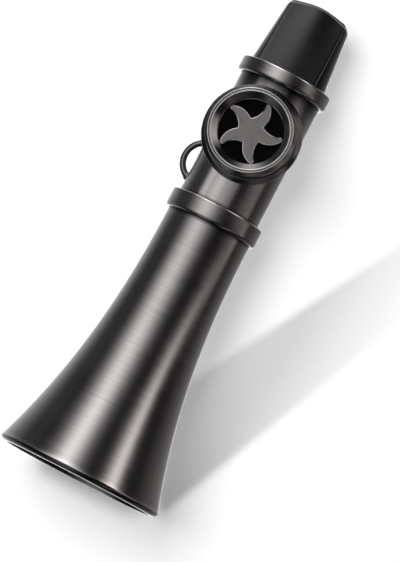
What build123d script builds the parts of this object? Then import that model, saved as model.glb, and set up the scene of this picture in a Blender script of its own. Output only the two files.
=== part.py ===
from build123d import *
import math
import os

os.makedirs("parts", exist_ok=True)

# Millimetres. The tube's axis is Z, the bell's mouth lies in the plane z = 0 and the turret faces -Y.

# Bell
bell_length = 66.8        # mouth plane to the end face inside the bell collar
rim_radius = 19.85        # crease where the flare meets the rolled lip
throat_step = 0.4         # bell's outside proud of the tube at the joint
flare_power = 2.35        # how fast the flare opens towards the mouth
bell_wall = 0.8
lip_height = 1.2
lip_width = 1.7
lip_blend = 2.4           # height where the lip has run out into the inner wall
flare_stations = 7        # points that carry the flare's curve

# Body tube
tube_radius = 9.8
tube_wall = 1.05
tube_length = 34.7        # shoulder on the bell to the mouthpiece's shoulder
tube_tenon = 6.0          # reach into the bell's throat

# Collars over the two joints
bell_collar_proud = 1.4   # collars proud of the tube
bell_collar_below = 2.6
bell_collar_above = 1.9
mouth_collar_proud = 1.2
mouth_collar_below = 2.3
mouth_collar_above = 1.2
collar_roll = 0.9         # rounding of the lower edge
collar_crisp = 0.2        # rounding of the upper edge

# Mouthpiece
mouthpiece_reach = 18.5   # shoulder to the tip of the arch
mouth_seat_inset = 0.35   # round foot inside the collar, in from the tube's outside
mouth_base_inset = 0.55   # where the beak leaves the collar
mouth_tip_inset = 2.3
facet_base = 6.2          # axis to facet at the collar's top
facet_tip = 3.55          # axis to facet at the tip
tip_arch = 21.0           # radius of the arched tip, seen from the front
tip_corner = 1.2
mouth_edge = 0.5          # softening of the moulded edges
mouth_wall = 1.4
spigot_length = 6.0
spigot_wall = 1.5

# Turret on the tube
turret_gap = 1.45         # flange to the mouth collar, along the tube
socket_bore = 7.2
saddle_low_radius = 8.1
saddle_drop = 4.3         # foot of the saddle below the tube's crown
saddle_top_radius = 10.7
flange_radius = 11.45
flange_thickness = 1.2
flange_rise = 1.0         # flange's upper face above the tube's crown
flange_rim = 0.4          # upright edge below the flange's bevel
flange_edge = 0.12
bevel_margin = 0.1        # flat of the flange outside the cap's skirt
neck_radius = 8.9
neck_length = 1.5

# Membrane stack between the neck and the star
gasket_thickness = 0.4
film_thickness = 0.1
slip_thickness = 0.6
stack_bore = 7.5
stack_radius = 8.7

# Screw cap
cap_radius = 10.35
cap_step = 4.3            # foot of the sloped shoulder above the flange
shoulder_rise = 0.6       # height of the sloped shoulder
rim_outer = 9.7
rim_inner = 8.9
cap_height = 5.6          # rim above the flange
rim_edge = 0.15
cone_low_radius = 7.55    # foot of the conical mouth round the star
cone_drop = 0.9           # depth of that foot under the rim
thread_clearance = 0.1
cap_lift_gap = 0.12       # skirt to flange with the cap screwed down
slip_clearance = 0.05

# Star grille
star_arms = 5
star_thickness = 0.9
star_valley = 3.05        # radius of the notches between two arms
star_turn = 9.0           # first arm's angle from +X, counter-clockwise from the front
arm_tip_lag = 5.0         # tip's clockwise side, degrees short of the arm's middle
arm_tip_lead = 6.0        # tip's counter-clockwise side, degrees past it
arm_belly = 0.6           # outward bow of the clockwise edge
arm_hollow = 0.65         # inward bow of the counter-clockwise edge
arm_reach = 7.4           # radius of the rounded tips
arm_shoulder = 7.0        # radius where the tips' rounding starts
tab_width = 0.8           # tabs that carry the arms under their tips
tab_thickness = 0.4
tab_inner = 6.4
star_land = 0.08          # overlap of the hidden ring by the cap's mouth

# Lanyard loop, half a wire ring on the -X side
loop_wire = 1.45
loop_ring = 4.75          # ring radius at the wire's middle
loop_inset = 2.0          # ring centre inside the tube's surface
loop_rise = 9.7           # ring centre above the bell's end

fit_gap = 0.03            # soldered and pressed joints

throat_radius = tube_radius + throat_step
bell_collar_radius = tube_radius + bell_collar_proud
mouth_collar_radius = tube_radius + mouth_collar_proud
mouth_seat_radius = tube_radius - mouth_seat_inset
mouth_base_radius = tube_radius - mouth_base_inset
mouth_tip_radius = tube_radius - mouth_tip_inset
tube_end = bell_length + tube_length
tube_bore = tube_radius - tube_wall
mouth_top = tube_end + mouthpiece_reach
mouth_collar_top = tube_end + mouth_collar_above
turret_z = tube_end - mouth_collar_below - turret_gap - flange_radius

# Heights over the tube's axis
saddle_low = tube_radius - saddle_drop
flange_top = tube_radius + flange_rise
cap_shoulder = flange_top + cap_step
rim_height = flange_top + cap_height
neck_top = flange_top + neck_length
film_low = neck_top + gasket_thickness
slip_low = film_low + film_thickness + slip_clearance
star_low = slip_low + slip_thickness + slip_clearance
star_top = star_low + star_thickness

cap_bore = neck_radius + thread_clearance
grille_radius = cap_bore - fit_gap
overshoot = 1.0           # how far a cutter passes what it cuts

# Front view of the turret: X to the right, Z up, heights along the outward normal
turret = Plane(origin=(0, 0, turret_z), x_dir=(1, 0, 0), z_dir=(0, -1, 0))


def lathe(*corners):
    """Turn a closed outline of (radius, height) corners about Z. A third number rounds its corner."""
    face = make_face(Polyline(*[corner[:2] for corner in corners], close=True))
    for radius, height, *rounding in corners:
        if rounding:
            face = fillet(face.vertices().sort_by_distance((radius, height))[0], rounding[0])
    return revolve(Plane.XZ * face, Axis.Z)


def upright(radius, low, high):
    """A cylinder about Z between two heights."""
    return Pos(0, 0, low) * Cylinder(radius, high - low, align=(Align.CENTER, Align.CENTER, Align.MIN))


def bell_radius(z):
    """Outer radius of the flare: the throat plus a power of the distance left to the bell's end."""
    share = (bell_length - z) / (bell_length - lip_height)
    return throat_radius + (rim_radius - throat_radius) * share**flare_power


def flare(low, inset):
    """The flare's curve from a height up to the bell's end, moved inwards by an inset."""
    step = (bell_length - low) / (flare_stations - 1)
    heights = [low + step * i for i in range(flare_stations)]
    return Spline(*[(bell_radius(z) - inset, z) for z in heights])


def make_bell():
    """Spun shell with a lip rolled inwards to a flat ring that it stands on."""
    outer = flare(lip_height, 0)
    inner = flare(lip_blend, bell_wall)
    lip_inner = rim_radius - lip_width
    foot = rim_radius - lip_height
    roll_middle = lip_height * (1 - math.sqrt(0.5))
    lip = ThreePointArc(
        (rim_radius, lip_height),
        (rim_radius - roll_middle, roll_middle),
        (foot, 0),
    )
    inside = Polyline((foot, 0), (lip_inner, 0), (lip_inner, lip_height), inner @ 0)
    end = Line(inner @ 1, outer @ 1)
    return revolve(Plane.XZ * make_face([outer, lip, inside, inner, end]), Axis.Z)


def make_collar(radius, low, joint, high, lower_bore, upper_bore):
    """Ferrule over a joint, with one bore for the piece below it and one for the piece above."""
    return lathe(
        (lower_bore, low),
        (radius, low, collar_roll),
        (radius, high, collar_crisp),
        (upper_bore, high),
        (upper_bore, joint),
        (lower_bore, joint),
    )


def make_tube():
    """Straight tube with a turned-down tenon below and a round port under the turret."""
    tenon_radius = throat_radius - bell_wall - fit_gap
    tube = lathe(
        (tube_bore, bell_length - tube_tenon),
        (tenon_radius, bell_length - tube_tenon),
        (tenon_radius, bell_length),
        (tube_radius, bell_length),
        (tube_radius, tube_end),
        (tube_bore, tube_end),
    )
    return tube - turret * upright(socket_bore, 0, tube_radius + overshoot)


def mouth_form(inset, low, high):
    """Tapered round plug with a slanted flat on its front and back, all moved inwards by an inset."""
    height = mouth_top - mouth_collar_top
    taper = (mouth_base_radius - mouth_tip_radius) / height
    slant = (facet_base - facet_tip) / height
    plug = lathe(
        (0, low),
        (mouth_base_radius - inset + taper * (mouth_collar_top - low), low),
        (mouth_base_radius - inset + taper * (mouth_collar_top - high), high),
        (0, high),
    )
    wide = 2 * mouth_base_radius
    low_flat = facet_base - inset + slant * (mouth_collar_top - low)
    high_flat = facet_base - inset + slant * (mouth_collar_top - high)
    wedge = make_face(
        Polyline((-low_flat, low), (low_flat, low), (high_flat, high), (-high_flat, high), close=True)
    )
    return plug & extrude(Plane.YZ * wedge, wide, both=True)


def above_collar(edges):
    """The edges that stand clear of the collar's top."""
    return edges.filter_by(lambda edge: edge.center().Z > mouth_collar_top + mouth_edge)


def make_mouthpiece():
    """Beak with an arched tip, hollow from the blowing slot to the spigot in the tube."""
    wide = 2 * mouth_base_radius
    arch = Pos(0, mouth_top - tip_arch) * Circle(tip_arch)
    beak = mouth_form(0, tube_end, mouth_top + overshoot)
    beak = beak & extrude(Plane.XZ * arch, wide, both=True)
    ends = above_collar(beak.edges()).sort_by(Axis.X)
    beak = fillet([ends[0], ends[-1]], tip_corner)
    flats = beak.faces().filter_by(GeomType.PLANE).sort_by(Axis.Y)
    beak = fillet(above_collar(flats[0].edges() + flats[-1].edges()), mouth_edge)
    base = upright(mouth_seat_radius, tube_end, mouth_collar_top)
    spigot = upright(tube_bore - fit_gap, tube_end - spigot_length, tube_end)
    channel = mouth_form(mouth_wall, tube_end, mouth_top + overshoot)
    bore = upright(tube_bore - fit_gap - spigot_wall, tube_end - spigot_length, tube_end)
    return beak + base + spigot - channel - bore


def make_socket():
    """Saddle soldered on the tube, with a bevelled flange and the neck that the cap screws on."""
    flange_low = flange_top - flange_thickness
    block = lathe(
        (socket_bore, saddle_low),
        (saddle_low_radius, saddle_low),
        (saddle_top_radius, flange_low),
        (flange_radius, flange_low, flange_edge),
        (flange_radius, flange_low + flange_rim, flange_edge),
        (cap_radius + bevel_margin, flange_top),
        (neck_radius, flange_top),
        (neck_radius, neck_top),
        (socket_bore, neck_top),
    )
    return turret * block - upright(tube_radius + fit_gap, bell_length, tube_end)


def make_washer(bore, radius, low, thickness):
    """Flat ring about the turret's axis."""
    return turret * lathe((bore, low), (radius, low), (radius, low + thickness), (bore, low + thickness))


def make_film():
    """Taut disc of film that buzzes over the socket's bore."""
    return turret * upright(stack_radius, film_low, film_low + film_thickness)


def make_cap():
    """Screw cap: a skirt on the neck, a sloped shoulder, a raised rim and a conical mouth over the star."""
    skirt_low = flange_top + cap_lift_gap
    return turret * lathe(
        (cap_bore, skirt_low),
        (cap_radius, skirt_low, rim_edge),
        (cap_radius, cap_shoulder, flange_edge),
        (rim_outer, cap_shoulder + shoulder_rise),
        (rim_outer, rim_height, rim_edge),
        (rim_inner, rim_height, rim_edge),
        (cone_low_radius, rim_height - cone_drop),
        (cone_low_radius, star_top),
        (cap_bore, star_top),
    )


def polar(radius, degrees):
    """A point of the turret's front view."""
    return radius * math.cos(math.radians(degrees)), radius * math.sin(math.radians(degrees))


def make_star():
    """Five bent arms with rounded tips, carried by thin tabs on a ring that the cap's mouth hides."""
    pitch = 360 / star_arms
    ring_bore = cone_low_radius + star_land
    edges = []
    tabs = Sketch()
    for arm in range(star_arms):
        middle = star_turn + arm * pitch
        crown = middle + (arm_tip_lead - arm_tip_lag) / 2
        notch = polar(star_valley, middle - pitch / 2)
        lag = polar(arm_shoulder, middle - arm_tip_lag)
        lead = polar(arm_shoulder, middle + arm_tip_lead)
        next_notch = polar(star_valley, middle + pitch / 2)
        edges += [
            SagittaArc(notch, lag, -arm_belly),
            ThreePointArc(lag, polar(arm_reach, crown), lead),
            SagittaArc(lead, next_notch, arm_hollow),
        ]
        tab_length = (ring_bore + grille_radius) / 2 - tab_inner
        tabs += Rot(0, 0, crown) * Pos(tab_inner + tab_length / 2) * Rectangle(tab_length, tab_width)
    ring = Circle(grille_radius) - Circle(ring_bore)
    arms = extrude(make_face(edges), star_thickness)
    plate = arms + extrude(ring, star_thickness) + extrude(tabs, tab_thickness)
    return turret * Pos(0, 0, star_low) * plate


def make_loop():
    """Part of a wire ring, its ends soldered to the tube's side."""
    centre = Pos(-(tube_radius - loop_inset), 0, bell_length + loop_rise)
    ring = centre * Rot(90, 0, 0) * Torus(loop_ring, loop_wire / 2)
    return ring - upright(tube_radius + fit_gap, bell_length, tube_end)


parts = {
    "bell": make_bell(),
    "bell_collar": make_collar(
        bell_collar_radius,
        bell_length - bell_collar_below,
        bell_length,
        bell_length + bell_collar_above,
        bell_radius(bell_length - bell_collar_below) + fit_gap,
        tube_radius + fit_gap,
    ),
    "body_tube": make_tube(),
    "mouth_collar": make_collar(
        mouth_collar_radius,
        tube_end - mouth_collar_below,
        tube_end,
        mouth_collar_top,
        tube_radius + fit_gap,
        mouth_seat_radius + fit_gap,
    ),
    "mouthpiece": make_mouthpiece(),
    "turret_socket": make_socket(),
    "seat_gasket": make_washer(stack_bore, stack_radius, neck_top, gasket_thickness),
    "membrane_film": make_film(),
    "slip_ring": make_washer(stack_bore, stack_radius, slip_low, slip_thickness),
    "cap_ring": make_cap(),
    "star_grille": make_star(),
    "lanyard_loop": make_loop(),
}

for name, solid in parts.items():
    export_step(solid, f"parts/{name}.step")
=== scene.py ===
import math

import bmesh
import bpy
import numpy as np
from mathutils import Euler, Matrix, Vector


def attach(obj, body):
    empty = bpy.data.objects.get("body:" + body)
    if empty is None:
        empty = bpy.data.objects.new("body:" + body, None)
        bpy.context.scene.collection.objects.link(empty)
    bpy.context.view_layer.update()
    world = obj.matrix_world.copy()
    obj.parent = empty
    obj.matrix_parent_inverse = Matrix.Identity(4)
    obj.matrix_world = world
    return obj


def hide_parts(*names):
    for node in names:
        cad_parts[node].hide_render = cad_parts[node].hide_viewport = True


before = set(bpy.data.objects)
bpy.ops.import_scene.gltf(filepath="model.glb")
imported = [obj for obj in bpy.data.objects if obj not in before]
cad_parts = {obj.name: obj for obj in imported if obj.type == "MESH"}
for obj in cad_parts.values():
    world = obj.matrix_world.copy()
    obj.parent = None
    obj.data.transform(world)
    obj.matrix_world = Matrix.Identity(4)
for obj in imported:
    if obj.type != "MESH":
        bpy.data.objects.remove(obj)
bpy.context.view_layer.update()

mm = 0.001  # shapes are worked out in millimetres, meshes are in metres
turretZ = 86.3  # height of the turret's axis up the tube
partMiddle = (0, 0, 0.06)  # what the lights and the dome stand round, in metres


# mesh helpers

def between(limits, share):
    # the first limit plus a share of the way to the second
    start, end = limits
    return start + (end - start) * share


def gridQuads(rows, columns, closedRows, closedColumns):
    # quads join each point of a grid to its neighbours; a closed parameter runs back to its first line
    i = np.arange(rows if closedRows else rows - 1)[:, None]
    j = np.arange(columns if closedColumns else columns - 1)[None, :]
    nextI = (i + 1) % rows
    nextJ = (j + 1) % columns
    corners = [i * columns + j, i * columns + nextJ, nextI * columns + nextJ, nextI * columns + j]
    return np.stack(np.broadcast_arrays(*corners), -1).reshape(-1, 4)


def outward(points, quads):
    # the signed volume under the quads is negative where a closed grid is inside out, so it is turned round
    a, b, c, d = (points[quads[:, k]] for k in range(4))
    volume = np.einsum("ij,ij->", a, np.cross(b, c)) + np.einsum("ij,ij->", a, np.cross(c, d))
    return quads if volume > 0 else quads[:, ::-1]


def addObject(name, data):
    thing = bpy.data.objects.new(name, data)
    bpy.context.scene.collection.objects.link(thing)
    return thing


def putPiece(name, grids, material, node=None, body="horn"):
    # each grid is (points, closedRows, closedColumns, paintedLightAndWear); points that meet at a pole or
    # seam are merged
    points, quads, paintedLightAndWear, start = [], [], [], 0
    for grid, closedRows, closedColumns, lightAndWearValue in grids:
        flat = grid.reshape(-1, 3)
        faces = outward(flat, gridQuads(*grid.shape[:2], closedRows, closedColumns))
        points.append(flat)
        quads.append(faces + start)
        paintedLightAndWear.append(np.broadcast_to(lightAndWearValue, grid.shape[:2]).reshape(-1))
        start += len(flat)
    mesh = bpy.data.meshes.new(name)
    mesh.from_pydata(np.concatenate(points) * mm, [], np.concatenate(quads))
    # the attribute keeps wear with painted highlights above 0, painted shade below 0, and on the dome its
    # glow
    rubbedSheen = mesh.attributes.new("paintedLightAndWear", "FLOAT", "POINT")
    rubbedSheen.data.foreach_set("value", np.concatenate(paintedLightAndWear).astype(np.float32))
    joined = bmesh.new()
    joined.from_mesh(mesh)
    bmesh.ops.remove_doubles(joined, verts=joined.verts, dist=1e-8)
    joined.to_mesh(mesh)
    joined.free()
    mesh.polygons.foreach_set("use_smooth", np.ones(len(mesh.polygons), bool))
    mesh.materials.append(material)
    piece = addObject(name, mesh)
    if node:
        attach(piece, body)
        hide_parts(node)
    return piece


def roundedLoop(corners, steps=7):
    # a closed outline of (radius, height, rounding, wear with a painted highlight) corners: every corner
    # becomes an arc that touches both of its sides, and one more point past each end of the arc keeps the
    # shading of the flats true
    corners = np.asarray(corners, float)
    place, rounding, lightAndWearValue = corners[:, :2], corners[:, 2], corners[:, 3]
    back = np.roll(place, 1, 0) - place
    ahead = np.roll(place, -1, 0) - place
    back /= np.linalg.norm(back, axis=1)[:, None]
    ahead /= np.linalg.norm(ahead, axis=1)[:, None]
    half = np.arccos(np.clip((back * ahead).sum(1), -1, 1)) / 2
    reach = rounding / np.tan(half)
    middle = back + ahead
    middle *= (rounding / np.sin(half) / np.linalg.norm(middle, axis=1))[:, None]
    centre = place + middle
    first = place + back * reach[:, None] - centre
    last = place + ahead * reach[:, None] - centre
    sweep = (np.pi - 2 * half)[:, None]
    t = np.linspace(0, 1, steps)[None, :]
    arc = centre[:, None] + (
        (np.sin((1 - t) * sweep) / np.sin(sweep))[..., None] * first[:, None]
        + (np.sin(t * sweep) / np.sin(sweep))[..., None] * last[:, None]
    )
    hold = (reach + 0.4 * rounding)[:, None]
    loop = np.concatenate([(place + back * hold)[:, None], arc, (place + ahead * hold)[:, None]], 1)
    shine = np.pad(np.sin(np.pi * t) ** 0.5, ((0, 0), (1, 1)))
    return loop.reshape(-1, 2), (lightAndWearValue[:, None] * shine).reshape(-1)


def cornerStart(corner, steps=7):
    # the row of a rounded loop where a corner starts, counted from 0
    return corner * (steps + 2)


def fullTurn(segments):
    return np.linspace(0, 2 * np.pi, segments, endpoint=False)


def turretPoints(across, along, height):
    # the turret's axis faces -Y, and heights are counted from the tube's axis
    return np.stack([across, -height, turretZ + along], -1)


def turned(loop, segments, onTurret=False):
    # a profile of (radius, height) turned about the tube's axis or the turret's
    angle = fullTurn(segments)
    across = loop[:, :1] * np.cos(angle)
    along = loop[:, :1] * np.sin(angle)
    height = np.broadcast_to(loop[:, 1:], across.shape)
    if onTurret:
        return turretPoints(across, along, height)
    return np.stack([across, along, height], -1)


def putTurned(name, loop, paintedLightAndWear, segments, material, node, body="horn", slot="gunmetal", onTurret=False):
    # a closed profile makes one ring-shaped piece
    grid = turned(loop, segments, onTurret)
    return putPiece(name, [(grid, True, True, np.reshape(paintedLightAndWear, (-1, 1)))], material, node, body)


def sharpen(piece, angle):
    # edges whose two faces turn by more than the angle are shaded sharp
    work = bmesh.new()
    work.from_mesh(piece.data)
    for edge in work.edges:
        edge.smooth = edge.calc_face_angle(0) < angle
    work.to_mesh(piece.data)
    work.free()


# material helpers

def startMaterial(name):
    material = bpy.data.materials.new(name)
    material.use_nodes = True
    tree = material.node_tree
    return material, tree, tree.nodes["Principled BSDF"]


def startPlain(name):
    # a material with nothing but its output
    material, tree, shader = startMaterial(name)
    tree.nodes.remove(shader)
    return material, tree, tree.nodes["Material Output"]


def fill(tree, node, inputs):
    # sockets by name or number: another socket is linked, any other value is set
    for key, value in inputs.items():
        if isinstance(value, bpy.types.NodeSocket):
            tree.links.new(value, node.inputs[key])
        else:
            node.inputs[key].default_value = value


def addNode(tree, kind, inputs=(), **settings):
    node = tree.nodes.new("ShaderNode" + kind)
    for key, value in settings.items():
        setattr(node, key, value)
    fill(tree, node, dict(inputs))
    return node


def reckon(tree, operation, first, second=0.0):
    return addNode(tree, "Math", {0: first, 1: second}, operation=operation).outputs[0]


def product(tree, first, second):
    return reckon(tree, "MULTIPLY", first, second)


def blend(tree, share, first, second):
    # the first value by its share and the second by the rest
    return reckon(tree, "ADD", product(tree, first, share), product(tree, second, 1 - share))


def mapped(tree, value, start, end, low=0.0, high=1.0):
    # a value between start and end laid out between low and high
    limits = {"From Min": start, "From Max": end, "To Min": low, "To Max": high}
    return addNode(tree, "MapRange", {"Value": value, **limits}).outputs[0]


def spread(tree, noise, low=0.0, high=1.0):
    # noise keeps mostly between 0.3 and 0.7
    return mapped(tree, noise, 0.3, 0.7, low, high)


def mixColour(tree, share, first, second):
    # 0, 6 and 7 are the sockets that a mix of colours uses
    return addNode(tree, "Mix", {0: share, 6: first, 7: second}, data_type="RGBA").outputs[2]


def noiseAt(tree, where, detail=2.0, roughness=0.5):
    sockets = {"Vector": where, "Scale": 1.0, "Detail": detail, "Roughness": roughness}
    return addNode(tree, "TexNoise", sockets).outputs["Fac"]


def bump(tree, height, strength, distance=0.00005):
    sockets = {"Height": height, "Strength": strength, "Distance": distance}
    return addNode(tree, "Bump", sockets).outputs[0]


def paintedLightAndWearOf(tree):
    return addNode(tree, "Attribute", attribute_name="paintedLightAndWear").outputs["Fac"]


def objectAt(tree, scale, shift=(0, 0, 0)):
    # object coordinates in metres, shifted and then stretched
    place = addNode(tree, "TexCoord").outputs["Object"]
    moved = addNode(tree, "VectorMath", {0: place, 1: shift}, operation="SUBTRACT").outputs[0]
    return addNode(tree, "VectorMath", {0: moved, 1: scale}, operation="MULTIPLY").outputs[0]


def turretAt(tree, fine, coarse):
    # (distance from the turret's axis, height over the tube, place seen from the front), each with its scale
    moved = objectAt(tree, (1, 1, 1), (0, 0, turretZ * mm))
    x, y, z = addNode(tree, "SeparateXYZ", {0: moved}).outputs
    squares = reckon(tree, "ADD", product(tree, x, x), product(tree, z, z))
    radius = product(tree, reckon(tree, "SQRT", squares), fine)
    height = product(tree, y, fine)
    side = product(tree, reckon(tree, "ADD", x, z), coarse)
    return addNode(tree, "CombineXYZ", {0: radius, 1: height, 2: side}).outputs[0]


# finishes; grains, lines and clouds are counted to a metre

gunmetalLook = {
    "dark": (0.178, 0.170, 0.167, 1),
    "light": (0.240, 0.230, 0.226, 1),
    "rubbedSheen": (0.86, 0.84, 0.82, 1),  # edges where the dark plating has worn thin, made paler as a painted highlight
    "rubbedSheenShare": 0.7,  # the least that such an edge keeps under the clouds
    "paintedShade": (0.016, 0.015, 0.015, 1),  # painted shade that rows below 0 darken to: beside the collars, in the bell, on the flange, cone and wire
    "roughSpread": 0.08,
    "rubbedSheenRough": 0.34,
    "fineLines": 5200.0,
    "broadLines": 1700.0,
    "fineShare": 0.55,
    "lineRun": 55.0,  # how soon a line fades out along its run
    "clouds": (95, 95, 60),
    "kinds": {  # lines' share of the tone, their depth, stretch of highlights, roughness
        "satinGunmetal": (0.65, 0.08, 0.1, 0.17),
        "brushedGunmetal": (0.5, 0.05, 0.25, 0.20),
        "brushedTurret": (0.6, 0.10, 0.5, 0.20),
    },
}


def gunmetal(name, onTurret=False):
    # brushed lines are noise drawn out along the turning direction: they tip the surface, and they share the
    # tone and the roughness with clouds; the highlights stretch across the lines
    look = gunmetalLook
    lineShare, lineDepth, stretch, smooth = look["kinds"][name]
    run = look["lineRun"]
    material, tree, shader = startMaterial(name)

    def drawnOut(lines):
        return turretAt(tree, lines, run) if onTurret else objectAt(tree, (run, run, lines))

    fine = noiseAt(tree, drawnOut(look["fineLines"]), 2.0)
    broad = noiseAt(tree, drawnOut(look["broadLines"]), 3.0)
    cloud = noiseAt(tree, objectAt(tree, look["clouds"]), 4.0, 0.6)
    tone = blend(tree, lineShare, blend(tree, look["fineShare"], fine, broad), cloud)
    plated = mixColour(tree, spread(tree, tone), look["dark"], look["light"])
    # above 0 the attribute pales edges, wear with a painted highlight; below 0 it darkens them to painted
    # shade
    paintedLightAndWear = paintedLightAndWearOf(tree)
    wornAndSheen = mapped(tree, paintedLightAndWear, 0, 1)
    # below 0 the attribute darkens towards the painted shade colour
    paintedShade = mapped(tree, paintedLightAndWear, 0, -1)
    rubbedSheen = product(tree, wornAndSheen, spread(tree, cloud, look["rubbedSheenShare"]))
    brushed = spread(tree, tone, smooth, smooth + look["roughSpread"])
    axis = "Y" if onTurret else "Z"
    fill(tree, shader, {
        "Base Color": mixColour(tree, paintedShade, mixColour(tree, rubbedSheen, plated, look["rubbedSheen"]), look["paintedShade"]),
        "Roughness": mapped(tree, rubbedSheen, 0, 1, brushed, look["rubbedSheenRough"]),
        "Normal": bump(tree, broad, lineDepth),
        "Tangent": addNode(tree, "Tangent", direction_type="RADIAL", axis=axis).outputs[0],
        "Metallic": 1.0,
        "Anisotropic": stretch,
        "Anisotropic Rotation": 0.25,
    })
    return material


grainLooks = {  # noise is (scale, detail, roughness)
    "satinStar": {  # blasted metal
        "tones": ((0.100, 0.095, 0.0925, 1), (0.142, 0.135, 0.132, 1)),
        # pale bevel colour: wear with a painted highlight
        "edge": (0.66, 0.64, 0.63, 1),
        "rough": (0.36, 0.5),
        "grain": ((5200, 5200, 5200), 2.0, 0.5),
        "clouds": ((300, 300, 300), 4.0, 0.5),
        "shares": (0.4, 0.4),  # the grain's part in the tone and in the roughness
        "depth": (0.12, 0.00004),
        "gloss": {"Metallic": 1.0},
    },
    "blackMoulding": {  # satin plastic with a spark-eroded grain, and patches where it was handled
        "tones": ((0.0035, 0.0035, 0.0037, 1), (0.0075, 0.0075, 0.0078, 1)),
        # pale colour of the painted highlights along the edges
        "edge": (0.24, 0.24, 0.242, 1),
        "rough": (0.13, 0.20),
        "grain": ((3600, 3600, 3600), 3.0, 0.5),
        "clouds": ((210, 210, 130), 4.0, 0.6),
        "shares": (0, 0.5),
        "depth": (0.06, 0.00005),
        "gloss": {"IOR": 1.32},
    },
    "smokedFilm": {  # taut film: shallow crinkles catch glints, and a haze varies its gloss
        "tones": ((0.0008, 0.0008, 0.0010, 1), (0.0020, 0.0020, 0.0021, 1)),
        "rough": (0.08, 0.16),
        "grain": ((420, 420, 420), 3.0, 0.6),
        "clouds": ((1500, 1500, 1500), 3.0, 0.5),
        "shares": (0, 0),
        "depth": (0.12, 0.0002),
        "gloss": {"Specular IOR Level": 0.015},  # much less than a clear film reflects
    },
}


def grained(name):
    # a fine grain tips the surface, and with broad clouds it varies the tone and the roughness by its shares
    look = grainLooks[name]
    material, tree, shader = startMaterial(name)
    (grainScale, *grainNoise), (cloudScale, *cloudNoise) = look["grain"], look["clouds"]
    grain = noiseAt(tree, objectAt(tree, grainScale), *grainNoise)
    cloud = noiseAt(tree, objectAt(tree, cloudScale), *cloudNoise)
    tone, gloss = (blend(tree, share, grain, cloud) for share in look["shares"])
    colour = mixColour(tree, spread(tree, tone), *look["tones"])
    # the pale edge colour follows the attribute: painted highlights, on the star with wear
    if "edge" in look:
        colour = mixColour(tree, paintedLightAndWearOf(tree), colour, look["edge"])
    fill(tree, shader, {
        "Base Color": colour,
        "Roughness": spread(tree, gloss, *look["rough"]),
        "Normal": bump(tree, grain, *look["depth"]),
        **look["gloss"],
    })
    return material


ringLooks = {  # two tones, two roughnesses, and whether it is metal
    "gasketRubber": ((0.011, 0.011, 0.011, 1), (0.026, 0.026, 0.025, 1), 0.6, 0.8, 0.0),
    "slipRingSteel": ((0.30, 0.29, 0.28, 1), (0.42, 0.41, 0.40, 1), 0.28, 0.42, 1.0),
}


def plainRing(name):
    # a small turned or stamped ring: circular marks vary its tone and roughness
    dark, light, smooth, rough, metal = ringLooks[name]
    material, tree, shader = startMaterial(name)
    marks = noiseAt(tree, turretAt(tree, 5200.0, 260.0), 3.0)
    fill(tree, shader, {
        "Base Color": mixColour(tree, spread(tree, marks), dark, light),
        "Roughness": spread(tree, marks, smooth, rough),
        "Normal": bump(tree, marks, 0.15),
        "Metallic": metal,
    })
    return material


bellMetal = gunmetal("satinGunmetal")
bodyMetal = gunmetal("brushedGunmetal")
turretMetal = gunmetal("brushedTurret", True)
starMetal = grained("satinStar")
moulding = grained("blackMoulding")
film = grained("smokedFilm")
rubber = plainRing("gasketRubber")
ringSteel = plainRing("slipRingSteel")
print("finishes: gunmetal, star, moulding, film, rubber and ring steel")


# bell

bell = {
    "length": 66.8,
    "throat": 10.2,
    "rim": 19.85,
    "power": 2.35,  # how fast the flare opens towards the mouth
    "wall": 0.8,
    "lipHeight": 1.2,
    "lipWidth": 1.7,
    "lipBlend": 2.4,
    "step": (0.12, 0.25),  # reach and rise of the step where the inside meets the lip
    "crease": 0.12,  # rounding where the flare meets the rolled lip
    "footEdge": 0.12,
    "collarLow": 64.2,  # where the collar's lower edge meets the flare
    "paintedShade": 0.9,  # height of the painted shade beside a collar
    "shadeDepth": 0.6,  # how far painted shade darkens the rolled lip and the inside
    "creaseWearAndSheen": (0.25, 0.05),  # worn and lightened into a painted highlight line, on the flare's side and the lip's
    "lipWearAndSheen": (0.1, 0.25),
    "footWearAndSheen": 0.5,
    "rows": 110,
    "segments": 256,
}


def flareRadius(z):
    # throat radius plus a power of the share of the length that is left
    share = (bell["length"] - z) / (bell["length"] - bell["lipHeight"])
    return between((bell["throat"], bell["rim"]), np.maximum(share, 0) ** bell["power"])


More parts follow.
